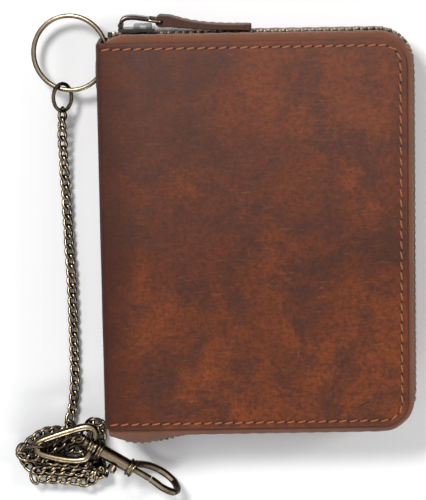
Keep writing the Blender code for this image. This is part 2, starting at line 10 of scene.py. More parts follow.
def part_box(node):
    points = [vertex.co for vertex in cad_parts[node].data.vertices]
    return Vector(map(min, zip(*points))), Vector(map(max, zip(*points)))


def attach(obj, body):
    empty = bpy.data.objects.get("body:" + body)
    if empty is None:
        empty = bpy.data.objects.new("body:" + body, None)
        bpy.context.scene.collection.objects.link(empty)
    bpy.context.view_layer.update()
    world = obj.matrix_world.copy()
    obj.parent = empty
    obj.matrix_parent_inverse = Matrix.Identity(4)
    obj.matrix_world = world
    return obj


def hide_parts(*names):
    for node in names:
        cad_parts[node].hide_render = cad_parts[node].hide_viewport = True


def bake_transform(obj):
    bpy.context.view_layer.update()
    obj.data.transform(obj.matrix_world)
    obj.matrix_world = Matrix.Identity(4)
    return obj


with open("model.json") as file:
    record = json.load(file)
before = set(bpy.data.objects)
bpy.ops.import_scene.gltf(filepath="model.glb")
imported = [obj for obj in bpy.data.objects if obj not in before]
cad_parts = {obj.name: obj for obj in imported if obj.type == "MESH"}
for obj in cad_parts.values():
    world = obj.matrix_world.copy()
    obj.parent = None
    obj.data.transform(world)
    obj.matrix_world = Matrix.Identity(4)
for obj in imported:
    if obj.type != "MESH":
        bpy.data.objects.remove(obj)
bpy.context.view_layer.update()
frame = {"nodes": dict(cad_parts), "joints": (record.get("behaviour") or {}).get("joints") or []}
MM = 0.001

# ---------------------------------------------------------------- places read from the frame
cover_low, cover_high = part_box("front_cover")
LEFT, RIGHT, TOP, THICK = cover_low[0], cover_high[0], cover_high[1], cover_high[2]
MID = THICK / 2
eyelet_low, eyelet_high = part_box("eyelet")
EYELET = Vector((LEFT, (eyelet_low[1] + eyelet_high[1]) / 2, (eyelet_low[2] + eyelet_high[2]) / 2))
EYELET_R = (eyelet_high[1] - eyelet_low[1]) / 2
TAPE_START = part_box("back_tape")[0][0]
SLIDER_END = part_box("slider_body")[1][0]
tail_low, tail_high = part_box("zip_tail")
JOINTS = {joint["name"]: joint for joint in frame["joints"]}
CORNER_R = 8.0 * MM      # the covers' outer corners
LEATHER_T = 1.1 * MM     # the hide
FOLD_R = 2.6 * MM        # where the leather bends from the spine onto a cover
SPLIT = 3.2 * MM         # height at which the front panel's leather ends on the spine


# ---------------------------------------------------------------- camera, lights and floor

def camera():
    target = Vector((-10.1, -3.7, 24.0)) * MM
    tilt = math.radians(9.4)
    distance = 0.776
    data = bpy.data.cameras.new("camera")
    data.lens = 184.0
    data.sensor_width = 36.0
    data.clip_start = 0.01
    obj = bpy.data.objects.new("camera", data)
    obj.location = target + Vector((0, math.sin(tilt), math.cos(tilt))) * distance
    obj.rotation_euler = (-tilt, 0.0, math.radians(-1.0))
    bpy.context.scene.collection.objects.link(obj)
    bpy.context.scene.camera = obj


def area_light(name, place, size, power):
    data = bpy.data.lights.new(name, "AREA")
    data.shape = "RECTANGLE"
    data.size, data.size_y = size
    data.energy = power
    obj = bpy.data.objects.new(name, data)
    obj.location = place
    obj.rotation_euler = (-Vector(place)).to_track_quat("-Z", "Y").to_euler()
    bpy.context.scene.collection.objects.link(obj)


def studio():
    area_light("key", (-0.35, 0.45, 0.75), (0.28, 0.2), 6.6)
    area_light("fill", (0.65, 0.15, 0.45), (0.2, 0.3), 2.2)
    area_light("front", (0.0, -0.6, 0.35), (0.5, 0.1), 1.4)
    world = bpy.data.worlds.new("studio")
    world.use_nodes = True
    tree = world.node_tree
    sky = tree.nodes.new("ShaderNodeTexCoord")
    split = tree.nodes.new("ShaderNodeSeparateXYZ")
    ramp = tree.nodes.new("ShaderNodeValToRGB")
    tree.links.new(sky.outputs["Generated"], split.inputs["Vector"])
    tree.links.new(split.outputs["Z"], ramp.inputs["Fac"])
    tree.links.new(ramp.outputs["Color"], tree.nodes["Background"].inputs["Color"])
    stops = ((0.0, 0.10), (0.28, 0.16), (0.46, 1.7), (0.62, 1.5), (0.75, 0.25), (0.90, 0.12), (0.97, 1.6))
    for place, level in stops[2:]:
        ramp.color_ramp.elements.new(place)
    for element, (place, level) in zip(ramp.color_ramp.elements, stops):
        element.position = place
        element.color = (level * 0.97, level * 0.985, level, 1)
    tree.nodes["Background"].inputs["Strength"].default_value = 0.40
    bpy.context.scene.world = world
    bpy.context.scene.view_settings.view_transform = "Standard"
    mesh = bpy.data.meshes.new("floor")
    work = bmesh.new()
    bmesh.ops.create_grid(work, x_segments=1, y_segments=1, size=1.5)
    work.to_mesh(mesh)
    work.free()
    floor = bpy.data.objects.new("floor", mesh)
    floor.location.z = -0.0002
    bpy.context.scene.collection.objects.link(floor)
    paper = bpy.data.materials.new("paper")
    paper.use_nodes = True
    shader = paper.node_tree.nodes["Principled BSDF"]
    shader.inputs["Base Color"].default_value = (0.93, 0.93, 0.93, 1)
    shader.inputs["Roughness"].default_value = 0.9
    mesh.materials.append(paper)


# ---------------------------------------------------------------- material building

class Nodes:
    """A short way to build a node material on a Principled BSDF."""

    def __init__(self, name):
        self.material = bpy.data.materials.new(name)
        self.material.use_nodes = True
        self.tree = self.material.node_tree
        self.shader = self.tree.nodes["Principled BSDF"]
        self.coords = self.tree.nodes.new("ShaderNodeTexCoord").outputs["Object"]

    def add(self, kind, inputs=None, **settings):
        node = self.tree.nodes.new(kind)
        for key, value in settings.items():
            setattr(node, key, value)
        for key, value in (inputs or {}).items():
            if isinstance(value, bpy.types.NodeSocket):
                self.tree.links.new(value, node.inputs[key])
            else:
                node.inputs[key].default_value = value
        return node

    def noise(self, scale, detail=4.0, rough=0.55, vector=None, distortion=0.0):
        inputs = {"Vector": vector or self.coords, "Scale": scale, "Detail": detail, "Roughness": rough,
                  "Distortion": distortion}
        return self.add("ShaderNodeTexNoise", inputs).outputs["Fac"]

    def stretch(self, scale, turn=(0, 0, 0)):
        inputs = {"Vector": self.coords, "Scale": scale, "Rotation": turn}
        return self.add("ShaderNodeMapping", inputs).outputs["Vector"]

    def ramp(self, factor, stops):
        node = self.add("ShaderNodeValToRGB", {"Fac": factor})
        ramp = node.color_ramp
        while len(ramp.elements) < len(stops):
            ramp.elements.new(0.5)
        for element, (place, colour) in zip(ramp.elements, stops):
            element.position = place
            element.color = (*colour, 1)
        return node.outputs["Color"]

    def mix(self, factor, first, second):
        node = self.tree.nodes.new("ShaderNodeMix")
        node.data_type = "RGBA"
        for socket, value in ((node.inputs[0], factor), (node.inputs[6], first), (node.inputs[7], second)):
            if isinstance(value, bpy.types.NodeSocket):
                self.tree.links.new(value, socket)
            elif isinstance(value, (int, float)):
                socket.default_value = value
            else:
                socket.default_value = (*value, 1)
        return node.outputs[2]

    def math(self, operation, first, second=0.0):
        return self.add("ShaderNodeMath", {0: first, 1: second}, operation=operation).outputs[0]

    def bump(self, layers):
        """Bumps stacked on each other: (height, strength, distance) each."""
        normal = None
        for height, strength, distance in layers:
            inputs = {"Height": height, "Strength": strength, "Distance": distance}
            if normal is not None:
                inputs["Normal"] = normal
            normal = self.add("ShaderNodeBump", inputs).outputs["Normal"]
        self.tree.links.new(normal, self.shader.inputs["Normal"])

    def set(self, **inputs):
        for key, value in inputs.items():
            socket = self.shader.inputs[key.replace("_", " ")]
            if isinstance(value, bpy.types.NodeSocket):
                self.tree.links.new(value, socket)
            else:
                socket.default_value = (*value, 1) if isinstance(value, tuple) else value
        return self.material


def grey(value):
    return (value, value, value)


def vintage_leather():
    """Oiled, pulled-up brown leather: cloudy dark patches, orange rubs and a fine grain, with a painted sheen
    towards the top and painted shade along the spine.
    """
    n = Nodes("vintage_leather")
    warp = n.stretch((1.0, 0.8, 1.0), (0, 0, 0.5))
    clouds = n.noise(26.0, 5.0, 0.62, warp, 0.6)
    patches = n.noise(62.0, 8.0, 0.74, n.coords, 0.4)
    speckle = n.noise(700.0, 4.0, 0.7)
    base = n.ramp(clouds, [(0.30, (0.072, 0.022, 0.014)), (0.47, (0.130, 0.031, 0.011)),
                           (0.60, (0.190, 0.042, 0.011)), (0.74, (0.250, 0.060, 0.015))])
    dark = n.ramp(patches, [(0.40, (1, 1, 1)), (0.54, (0, 0, 0))])
    base = n.mix(n.math("MULTIPLY", dark, 0.78), base, (0.062, 0.024, 0.017))
    base = n.mix(n.ramp(speckle, [(0.38, grey(0.55)), (0.56, grey(0.0))]), base, (0.042, 0.016, 0.010))
    hairs = n.noise(240.0, 6.0, 0.7, n.stretch((1.0, 5.0, 1.0), (0, 0, 0.75)), 0.8)
    hairs = n.math("MULTIPLY", n.ramp(hairs, [(0.56, grey(0.0)), (0.70, grey(0.75))]), clouds)
    base = n.mix(hairs, base, (0.30, 0.095, 0.034))
    away = n.add("ShaderNodeSeparateXYZ", {"Vector": n.coords})
    # painted sheen: the base colour turns greyer towards the top, standing in for the top light's reflection
    # on the leather
    high = n.add("ShaderNodeMapRange", {"Value": away.outputs["Y"], "From Min": -0.01, "From Max": 0.06,
                                        "To Min": 0.0, "To Max": 0.42}, clamp=True).outputs["Result"]
    base = n.mix(high, base, (0.105, 0.052, 0.042))
    # painted shade: the leather darkens towards the spine fold at the left edge, broken up into streaks
    near = n.math("SUBTRACT", away.outputs["X"], LEFT)
    shade = n.add("ShaderNodeMapRange", {"Value": near, "From Min": 0.0, "From Max": 0.013,
                                         "To Min": 0.85, "To Max": 0.0}, clamp=True).outputs["Result"]
    spine_shade_streaks = n.noise(90.0, 3.0, 0.5, n.stretch((1.0, 0.25, 1.0)))
    shade = n.math("MULTIPLY", shade, n.math("ADD", spine_shade_streaks, 0.42))
    base = n.mix(shade, base, (0.042, 0.0105, 0.005))
    lines = n.noise(150.0, 6.0, 0.7, n.coords, 1.2)
    grain = n.add("ShaderNodeTexVoronoi", {"Vector": n.coords, "Scale": 1500.0}).outputs["Distance"]
    n.bump([(lines, 0.30, 0.0006), (grain, 0.22, 0.00018), (speckle, 0.2, 0.0003)])
    rough = n.ramp(patches, [(0.3, grey(0.46)), (0.7, grey(0.60))])
    return n.set(Base_Color=base, Roughness=rough, Specular_IOR_Level=0.22)


def edge_leather():
    """Raw cut edge and inner side of the same hide."""
    n = Nodes("edge_leather")
    fibre = n.noise(900.0, 5.0, 0.7)
    base = n.ramp(fibre, [(0.3, (0.035, 0.012, 0.006)), (0.7, (0.085, 0.030, 0.014))])
    n.bump([(fibre, 0.5, 0.0003)])
    return n.set(Base_Color=base, Roughness=0.8)


def tab_leather():
    """Darker, oilier leather of the puller's tab."""
    n = Nodes("tab_leather")
    clouds = n.noise(160.0, 5.0, 0.65)
    base = n.ramp(clouds, [(0.35, (0.022, 0.0075, 0.0045)), (0.65, (0.062, 0.020, 0.010))])
    n.bump([(n.noise(900.0, 4.0, 0.6), 0.3, 0.0002)])
    return n.set(Base_Color=base, Roughness=0.5, Specular_IOR_Level=0.35)


def lining_leather():
    n = Nodes("lining_leather")
    clouds = n.noise(45.0, 4.0, 0.6)
    pores = n.add("ShaderNodeTexVoronoi", {"Vector": n.coords, "Scale": 1100.0}).outputs["Distance"]
    base = n.ramp(clouds, [(0.32, (0.050, 0.019, 0.010)), (0.7, (0.092, 0.034, 0.017))])
    n.bump([(n.noise(300.0, 5.0, 0.65), 0.25, 0.0003), (pores, 0.2, 0.0002)])
    return n.set(Base_Color=base, Roughness=0.55)


def woven(name, dark, light):
    """Herringbone zip tape: fine diagonal ribs broken by the weft."""
    n = Nodes(name)
    ribs = n.add("ShaderNodeTexWave", {"Vector": n.coords, "Scale": 900.0, "Distortion": 1.5,
                                       "Detail": 2.0, "Detail Scale": 4.0},
                 wave_type="BANDS", bands_direction="DIAGONAL").outputs["Fac"]
    weft = n.add("ShaderNodeTexVoronoi", {"Vector": n.coords, "Scale": 1900.0}).outputs["Distance"]
    fuzz = n.noise(2600.0, 3.0, 0.7)
    stain = n.noise(120.0, 4.0, 0.6)
    base = n.mix(n.math("MULTIPLY", ribs, 0.65), dark, light)
    base = n.mix(n.ramp(stain, [(0.35, grey(0.35)), (0.65, grey(0.0))]), base, (0.10, 0.035, 0.02))
    n.bump([(ribs, 0.6, 0.0003), (weft, 0.4, 0.0002), (fuzz, 0.3, 0.0001)])
    return n.set(Base_Color=base, Roughness=0.92, Sheen_Weight=0.25)


def thread():
    n = Nodes("thread")
    twist = n.add("ShaderNodeTexWave", {"Vector": n.coords, "Scale": 900.0, "Distortion": 0.4},
                  wave_type="BANDS", bands_direction="DIAGONAL").outputs["Fac"]
    base = n.mix(twist, (0.19, 0.058, 0.020), (0.43, 0.165, 0.072))
    n.bump([(twist, 0.5, 0.00012)])
    return n.set(Base_Color=base, Roughness=0.7)


def dark_hole():
    n = Nodes("needle_hole")
    # painted shade: a flat dark mottled colour standing in for the shade inside the needle holes
    painted_hole_shade = n.noise(1500.0)
    return n.set(Base_Color=n.mix(painted_hole_shade, (0.012, 0.004, 0.002), (0.035, 0.012, 0.006)), Roughness=0.95)


def antique_metal(name, dark, mid, bright, rough=0.26, highlight_level=1.0):
    """Antiqued plating: a painted highlight where it faces up, cloudy tarnish on the sides, and darker in the
    hollows and between parts, partly its patina and partly painted shade.
    """
    n = Nodes(name)
    facing = n.tree.nodes.new("ShaderNodeTexCoord").outputs["Normal"]
    upward = n.add("ShaderNodeSeparateXYZ", {"Vector": facing}).outputs["Z"]
    clouds = n.noise(520.0, 5.0, 0.65)
    # painted highlight: the colour turns bright where the surface faces up, broken up by the clouds
    painted_top_highlight = n.math("ADD", n.math("ABSOLUTE", upward), n.math("MULTIPLY", clouds, 0.5))
    painted_top_highlight = n.ramp(n.math("MULTIPLY", painted_top_highlight, 0.7), [(0.70, grey(0.0)), (0.88, grey(highlight_level))])
    tarnish = n.ramp(clouds, [(0.38, grey(0.85)), (0.62, grey(0.0))])
    base = n.mix(tarnish, mid, dark)
    base = n.mix(painted_top_highlight, base, bright)
    # darker in hollows and between parts: partly the antique finish's patina, partly painted shade
    hollow_shade_and_patina = n.add("ShaderNodeAmbientOcclusion", {"Distance": 0.003}, samples=6)
    base = n.mix(n.ramp(hollow_shade_and_patina.outputs["AO"], [(0.35, grey(0.93)), (0.85, grey(0.0))]), base, dark)
    scratches = n.noise(700.0, 3.0, 0.6, n.stretch((1.0, 6.0, 1.0), (0.3, 0.2, 0.7)))
    n.bump([(clouds, 0.12, 0.0002), (scratches, 0.10, 0.0001)])
    roughness = n.ramp(clouds, [(0.3, grey(rough + 0.14)), (0.7, grey(rough - 0.04))])
    return n.set(Base_Color=base, Roughness=roughness, Metallic=1.0)


MATERIALS = {
    "leather": vintage_leather(),
    "edge": edge_leather(),
    "tab": tab_leather(),
    "lining": lining_leather(),
    "tape": woven("zip_tape", (0.120, 0.036, 0.014), (0.330, 0.115, 0.048)),
    "thread": thread(),
    "hole": dark_hole(),
    "brass": antique_metal("antique_brass", (0.009, 0.0065, 0.0045), (0.058, 0.041, 0.023),
                           (0.56, 0.43, 0.27)),
    "teeth": antique_metal("zip_teeth", (0.018, 0.014, 0.010), (0.12, 0.090, 0.058), (0.55, 0.45, 0.31), 0.3),
    "slider": antique_metal("gunmetal", (0.008, 0.0075, 0.007), (0.030, 0.027, 0.024), (0.16, 0.14, 0.115),
                            0.24, 0.7),
    # nickel with cloudy tarnish and a painted highlight where it faces up
    "nickel": antique_metal("nickel_tarnish_and_highlight", (0.12, 0.12, 0.115), (0.50, 0.50, 0.48), (0.85, 0.84, 0.80), 0.2),
}


# ---------------------------------------------------------------- mesh helpers

def piece(name, work, looks, body, smooth):
    """Turn a bmesh into a named piece with its materials, riding on a body."""
    mesh = bpy.data.meshes.new(name)
    work.to_mesh(mesh)
    work.free()
    mesh.shade_smooth()
    mesh.set_sharp_from_angle(angle=math.radians(smooth))
    obj = bpy.data.objects.new(name, mesh)
    for look in looks:
        mesh.materials.append(MATERIALS[look])
    bpy.context.scene.collection.objects.link(obj)
    if body is not None:
        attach(obj, body)
    return obj


def skin(work, rings):
    """Faces between successive rings of points, with a cap on the first and the last ring."""
    made = [[work.verts.new(point) for point in ring] for ring in rings]
    count = len(made[0])
    for first, second in zip(made, made[1:]):
        for index in range(count):
            after = (index + 1) % count
            work.faces.new((first[index], first[after], second[after], second[index]))
    work.faces.new(made[0][::-1])
    work.faces.new(made[-1])


def tube(work, points, radius, sides=12, cyclic=False):
    """A round tube along points; radius may be a function of the share of its length."""
    points = [Vector(point) for point in points]
    count = len(points)
    rings = []
    side = None
    for index, point in enumerate(points):
        if cyclic:
            along = points[(index + 1) % count] - points[index - 1]
        else:
            along = points[min(index + 1, count - 1)] - points[max(index - 1, 0)]
        along.normalize()
        if side is None:
            side = along.orthogonal()
        else:
            side = side - along * along.dot(side)
        side.normalize()
        across = along.cross(side)
        size = radius(index / (count - 1)) if callable(radius) else radius
        rings.append([point + side * size * math.cos(math.tau * k / sides)
                      + across * size * math.sin(math.tau * k / sides) for k in range(sides)])
    if cyclic:
        made = [[work.verts.new(p) for p in ring] for ring in rings]
        shift = 0
        for index in range(count):
            first, second = made[index], made[(index + 1) % count]
            if index == count - 1:
                shift = min(range(sides), key=lambda k: (first[0].co - second[k].co).length)
            for k in range(sides):
                work.faces.new((first[k], first[(k + 1) % sides],
                                second[(k + 1 + shift) % sides], second[(k + shift) % sides]))
    else:
        skin(work, rings)


def lathe(work, profile, matrix, sides=32):
    """A turned solid about the local x axis from (along, radius) points."""
    rings = []
    for along, radius in profile:
        radius = max(radius, 0.00001)
        rings.append([matrix @ Vector((along, radius * math.cos(math.tau * k / sides),
                                       radius * math.sin(math.tau * k / sides))) for k in range(sides)])
    skin(work, rings)


def block(work, matrix, size, edge):
    """A box with rounded edges, size along its own axes."""
    made = bmesh.ops.create_cube(work, size=1.0, matrix=matrix @ Matrix.Diagonal((*size, 1)))
    faces = {face for vert in made["verts"] for face in vert.link_faces}
    edges = list({e for face in faces for e in face.edges})
    bmesh.ops.bevel(work, geom=edges, offset=edge, segments=2, affect="EDGES", profile=0.6)


def smooth_route(points, per_span):
    """Points of a smooth curve through the given points."""
    known = [Vector(point) for point in points]
    padded = [2 * known[0] - known[1]] + known + [2 * known[-1] - known[-2]]
    route = []
    for index in range(1, len(padded) - 2):
        p0, p1, p2, p3 = padded[index - 1:index + 3]
        for step in range(per_span):
            t = step / per_span
            route.append(0.5 * (2 * p1 + (p2 - p0) * t + (2 * p0 - 5 * p1 + 4 * p2 - p3) * t ** 2
                                + (3 * p1 - p0 - 3 * p2 + p3) * t ** 3))
    route.append(known[-1])
    return route


def walk(points):
    """The whole length of a line, and a function that gives place and direction at a length."""
    points = [Vector(point) for point in points]
    lengths = [0.0]
    for first, second in zip(points, points[1:]):
        lengths.append(lengths[-1] + (second - first).length)

    def at(length):
        length = min(max(length, 0.0), lengths[-1])
        low, high = 0, len(lengths) - 1
        while high - low > 1:
            index = (low + high) // 2
            if lengths[index] <= length:
                low = index
            else:
                high = index
        share = (length - lengths[low]) / max(lengths[high] - lengths[low], 1e-9)
        direction = (points[high] - points[low]).normalized()
        return points[low].lerp(points[high], share), direction

    return lengths[-1], at


def finish_node(name, look, edge=0.0):
    """Give a CAD node that stays its material, softened edges and smooth shading."""
    obj = frame["nodes"][name]
    obj.data.materials.clear()
    obj.data.materials.append(MATERIALS[look])
    for polygon in obj.data.polygons:
        polygon.use_smooth = True
    if edge:
        bevel = obj.modifiers.new("edge", "BEVEL")
        bevel.width = edge
        bevel.segments = 2
        bevel.limit_method = "ANGLE"
        bevel.angle_limit = math.radians(40)
        bevel.harden_normals = True
    return obj


# ---------------------------------------------------------------- chain

LINK_PITCH = 3.12 * MM
LINK_HALF_LONG = 2.12 * MM
LINK_HALF_WIDE = 1.12 * MM
LINK_WIRE_R = 0.53 * MM
CHAIN_RUN = [(-57.9, 38.0, 6.0), (-58.3, 31.0, 4.6), (-58.1, 20.5, 3.0), (-57.7, 9.0, 2.0),
             (-57.3, -4.0, 1.75), (-56.8, -16.0, 1.75), (-56.6, -28.0, 1.75), (-56.5, -40.0, 1.75),
             (-56.7, -50.0, 1.75), (-57.6, -57.5, 1.75), (-58.8, -61.7, 1.75)]
HEAP_MIDDLE = Vector((-60.9, -72.3))
BOTTOM_LAYER, TOP_LAYER = 1.72, 4.5
UNDER_KNOB = 1.95        # height of the strand that passes below the hook's thumb knob


def heap_loops():
    """The chain's loops in the heap: winding inwards on the table, then to and fro on top."""
    points = []
    turns, steps = 2.55, 46
    for step in range(steps):
        turn = turns * step / (steps - 1)
        angle = math.radians(78) + math.tau * turn
        corner = max(0.0, -math.sin(2 * angle)) ** 2 if math.cos(angle) > 0 else 0.0
        grow = 1.0 + 0.20 * corner
        x = HEAP_MIDDLE.x + (13.2 - 3.3 * turn) * math.cos(angle) * grow
        y = HEAP_MIDDLE.y + max(8.4 - 3.1 * turn, 0.9) * math.sin(angle) * grow
        points.append((x, y, BOTTOM_LAYER))
    rows = ((-66.5, -73.4, -50.0, -75.6), (-48.6, -78.3, -68.8, -76.6), (-69.8, -79.2, -53.0, -80.6),
            (-49.6, -77.4, -48.6, -66.0), (-48.6, -62.8, -52.2, -61.6), (-55.0, -66.2, -66.5, -69.6))
    for x0, y0, x1, y1 in rows:
        for step in range(5):
            share = step / 4
            points.append((x0 + (x1 - x0) * share, y0 + (y1 - y0) * share, TOP_LAYER))
    placed = []
    for x, y, z in points:
        drift = Vector((x, y, z * 4)) * 0.13
        x += noise.noise(drift) * 1.3
        y += noise.noise(drift + Vector((7, 3, 1))) * 1.1
        rise = 0.5 * noise.noise(drift * 1.7) if z > 3 else 0.0
        if z > 3 and x > -52.5 and y > -76.0:
            z = UNDER_KNOB
        placed.append((x, y, z + rise))
    return placed


def chain_route():
    """The chain's middle line from the jump link, down beside the spine and round the heap."""
    last = [(-71.0, -72.3, 4.6), (-73.9, -71.4, 4.6), (-74.0, -69.4, 5.2), (-72.8, -68.4, 6.2)]
    points = CHAIN_RUN + heap_loops() + last
    return smooth_route([Vector(point) * MM for point in points], 4)


def chain():
    """Curb links, each twisted so that it lies against the next, along one smooth route."""
    route = chain_route()
    total, at = walk(route)
    count = round(total / LINK_PITCH)
    work = bmesh.new()
    for index in range(count):
        length = total * (index + 0.5) / count
        centre, along = at(length)
        up = Vector((0, 0, 1))
        up = (up - along * along.dot(up)).normalized()
        run = length / total
        twist = math.radians(30.0) * max(0.0, 1 - run / 0.2) + math.radians(14.0) * math.sin(index * 1.7)
        up = Matrix.Rotation(twist, 3, along) @ up
        across = along.cross(up)
        points = []
        for step in range(24):
            t = math.tau * step / 24
            bend = math.radians(45.0) * math.sin(t)
            wide = LINK_HALF_WIDE * math.cos(t)
            points.append(centre + along * LINK_HALF_LONG * math.sin(t) + across * wide * math.cos(bend)
                          + up * wide * math.sin(bend))
        tube(work, points, LINK_WIRE_R, sides=8, cyclic=True)
    links = piece("curb_chain", work, ["brass"], "back", 60.0)
    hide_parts("chain_run", "chain_heap")
    return links, route


# ---------------------------------------------------------------- leather case

def edge_distance(x, y):
    """How far a place on a cover lies from the cover's edge, the spine's side left out."""
    if x > RIGHT - CORNER_R and abs(y) > TOP - CORNER_R:
        return CORNER_R - math.hypot(x - (RIGHT - CORNER_R), abs(y) - (TOP - CORNER_R))
    return min(RIGHT - x, TOP - abs(y))


def case_profile(spine_from):
    """(x, z, normal x, normal z) from the spine's height spine_from, over the fold, to the far edge."""
    points = []
    steps = max(2, round((THICK - FOLD_R - spine_from) / (0.7 * MM)))
    for step in range(steps):
        z = spine_from + (THICK - FOLD_R - spine_from) * step / steps
        points.append((LEFT, z, -1.0, 0.0))
    for step in range(9):
        angle = math.radians(180 - 90 * step / 8)
        points.append((LEFT + FOLD_R + FOLD_R * math.cos(angle), THICK - FOLD_R + FOLD_R * math.sin(angle),
                       math.cos(angle), math.sin(angle)))
    last = RIGHT - CORNER_R
    steps = 112
    for step in range(1, steps + 1):
        points.append((LEFT + FOLD_R + (last - LEFT - FOLD_R) * step / steps, THICK, 0.0, 1.0))
    for step in range(1, 15):
        angle = math.radians(90 * step / 14)
        points.append((last + CORNER_R * math.sin(angle), THICK, 0.0, 1.0))
    return points


def case_piece(name, spine_from, flip, body):
    """One leather panel with its share of the spine, as a thick skin with rounded cut edges."""
    rows = [0.0, 0.1, 0.25, 0.5, 0.85]
    span = TOP / MM
    count = 150
    inner = [span - 1.3 - (2 * span - 2.6) * k / count for k in range(count + 1)]
    values = [(span - d) / span for d in rows] + [v / span for v in inner]
    values += [-(span - d) / span for d in rows[::-1]]
    edge = 0.8 * MM
    outer = []
    inside = []
    for x, z, nx, nz in case_profile(spine_from):
        reach = TOP
        if x > RIGHT - CORNER_R:
            reach = TOP - CORNER_R + math.sqrt(max(CORNER_R ** 2 - (x - (RIGHT - CORNER_R)) ** 2, 0.0))
        out_row, in_row = [], []
        for value in values:
            y = value * reach
            d = max(edge_distance(x, y), 0.0)
            drop = edge - math.sqrt(max(edge ** 2 - (edge - d) ** 2, 0.0)) if d < edge else 0.0
            if nz > 0.5:
                seam = 0.10 * MM * math.exp(-((d - 1.85 * MM) / (0.55 * MM)) ** 2)
                crown = 0.25 * MM * min(1.0, d / (9 * MM))
            else:
                seam = crown = 0.0
            wave = noise.noise(Vector((x, y, z * 2)) * 55.0) * 0.10 * MM
            lift = crown - seam + wave - drop * 0.75 - 0.2 * MM
            px, pz = x + nx * lift, z + nz * lift
            out_row.append(Vector((px, y, THICK - pz if flip else pz)))
            thick = LEATHER_T - 0.1 * MM - drop * 0.2
            qx, qz = px - nx * thick, pz - nz * thick
            in_row.append(Vector((qx, y, THICK - qz if flip else qz)))
        outer.append(out_row)
        inside.append(in_row)
    work = bmesh.new()
    rows_out = [[work.verts.new(p) for p in row] for row in outer]
    rows_in = [[work.verts.new(p) for p in row] for row in inside]
    spot = Vector((EYELET.y, THICK - EYELET.z if flip else EYELET.z))
    hole_r = EYELET_R - 1.0 * MM
    last = len(values) - 1

    def quad(a, b, c, d, look):
        face = work.faces.new((a, b, c, d) if not flip else (d, c, b, a))
        face.material_index = look

    for i in range(len(rows_out) - 1):
        for j in range(last):
            if rows_out[i][j].co.x < LEFT + MM and not flip:
                centre = (rows_out[i][j].co + rows_out[i + 1][j + 1].co) / 2
                if (Vector((centre.y, centre.z)) - spot).length < hole_r:
                    continue
            quad(rows_out[i][j], rows_out[i][j + 1], rows_out[i + 1][j + 1], rows_out[i + 1][j], 0)
            quad(rows_in[i][j + 1], rows_in[i][j], rows_in[i + 1][j], rows_in[i + 1][j + 1], 1)
        quad(rows_in[i][0], rows_out[i][0], rows_out[i + 1][0], rows_in[i + 1][0], 1)
        quad(rows_out[i][last], rows_in[i][last], rows_in[i + 1][last], rows_out[i + 1][last], 1)
    for j in range(last):
        quad(rows_out[0][j + 1], rows_out[0][j], rows_in[0][j], rows_in[0][j + 1], 1)
        quad(rows_out[-1][j], rows_out[-1][j + 1], rows_in[-1][j + 1], rows_in[-1][j], 1)
    bmesh.ops.recalc_face_normals(work, faces=work.faces)
    return piece(name, work, ["leather", "edge"], body, 60.0)


# ---------------------------------------------------------------- stitching

def rim_route(inset, start, radius, steps=10):
    """The wallet's edge moved inwards by inset, from the spine end of the top round to the bottom."""
    right, top = RIGHT - inset, TOP - inset
    points = [Vector((start, top, 0))]
    for step in range(steps + 1):
        angle = math.radians(90 - 90 * step / steps)
        points.append(Vector((right - radius + radius * math.cos(angle),
                              top - radius + radius * math.sin(angle), 0)))
    for step in range(steps + 1):
        angle = math.radians(-90 * step / steps)
        points.append(Vector((right - radius + radius * math.cos(angle),
                              -top + radius + radius * math.sin(angle), 0)))
    points.append(Vector((start, -top, 0)))
    return points


def stitches(name, route, body, up=1.0, pitch=3.2 * MM, long=2.35 * MM, thick=0.30 * MM, lean=0.2):
    """A row of slanting stitches with a flat dark disc of painted shade for a needle hole between each two,
    along a flat route.
    """
    total, at = walk(route)
    count = round(total / pitch)
    work = bmesh.new()
    lift = Vector((0, 0, up))
    for index in range(count):
        centre, along = at(total * (index + 0.5) / count)
        across = lift.cross(along)
        half = long / 2
        bow = [-1.0, -0.7, -0.25, 0.25, 0.7, 1.0]
        points = [centre + along * half * b + across * lean * half * b
                  + lift * thick * (0.75 * (1 - b * b)) for b in bow]
        tube(work, points, lambda t: thick * (0.55 + 0.45 * math.sin(math.pi * t)), sides=8)
        # a flat dark disc of painted shade where a needle hole would be, not a real hole
        hole, along = at(total * index / count)
        ring = []
        for k in range(8):
            angle = math.tau * k / 8
            ring.append(work.verts.new(hole + along * 0.42 * MM * math.cos(angle)
                                       + across * 0.30 * MM * math.sin(angle) + lift * 0.02 * MM))
        middle = work.verts.new(hole + lift * 0.05 * MM)
        for k in range(8):
            work.faces.new((ring[k], ring[(k + 1) % 8], middle)).material_index = 1
    return piece(name, work, ["thread", "hole"], body, 50.0)


def case():
    """Front and back leather, each with its share of the spine and the fold onto its cover, and their edge
    stitching.
    """
    front = case_piece("case_front", SPLIT, False, None)
    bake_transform(front)
    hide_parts("front_cover", "spine")
    back = case_piece("case_back", THICK - SPLIT + 0.05 * MM, True, "back")
    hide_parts("back_cover")
    inset = 1.85 * MM
    route = rim_route(inset, LEFT + 1.6 * MM, 5.5 * MM)
    lift = Vector((0, 0, THICK - 0.22 * MM))
    stitches("front_stitches", [point + lift for point in route], "front")
    drop = Vector((0, 0, 0.22 * MM))
    stitches("back_stitches", [point + drop for point in route], "back", up=-1.0)


# ---------------------------------------------------------------- zip

TAPE_OUT = 2.25 * MM
PITCH = 2.25 * MM


def bulge(length, total):
    """How far the zip's loose end pushes the tape outwards near the end of its route."""
    away = (total - length) / (tail_high[0] - LEFT)
    if away > 1.0:
        return 0.0
    return (tail_high[1] - tail_low[1]) * math.sin(math.pi * away ** 0.75) ** 1.3 * (1.15 - 0.35 * away)


def zip_route():
    """The tapes' line: it starts at the slider's end and runs on to the spine's lower corner."""
    route = rim_route(0.0, TAPE_START - 2.0 * MM, CORNER_R, 14)
    route[-1].x = LEFT + 1.4 * MM
    return route


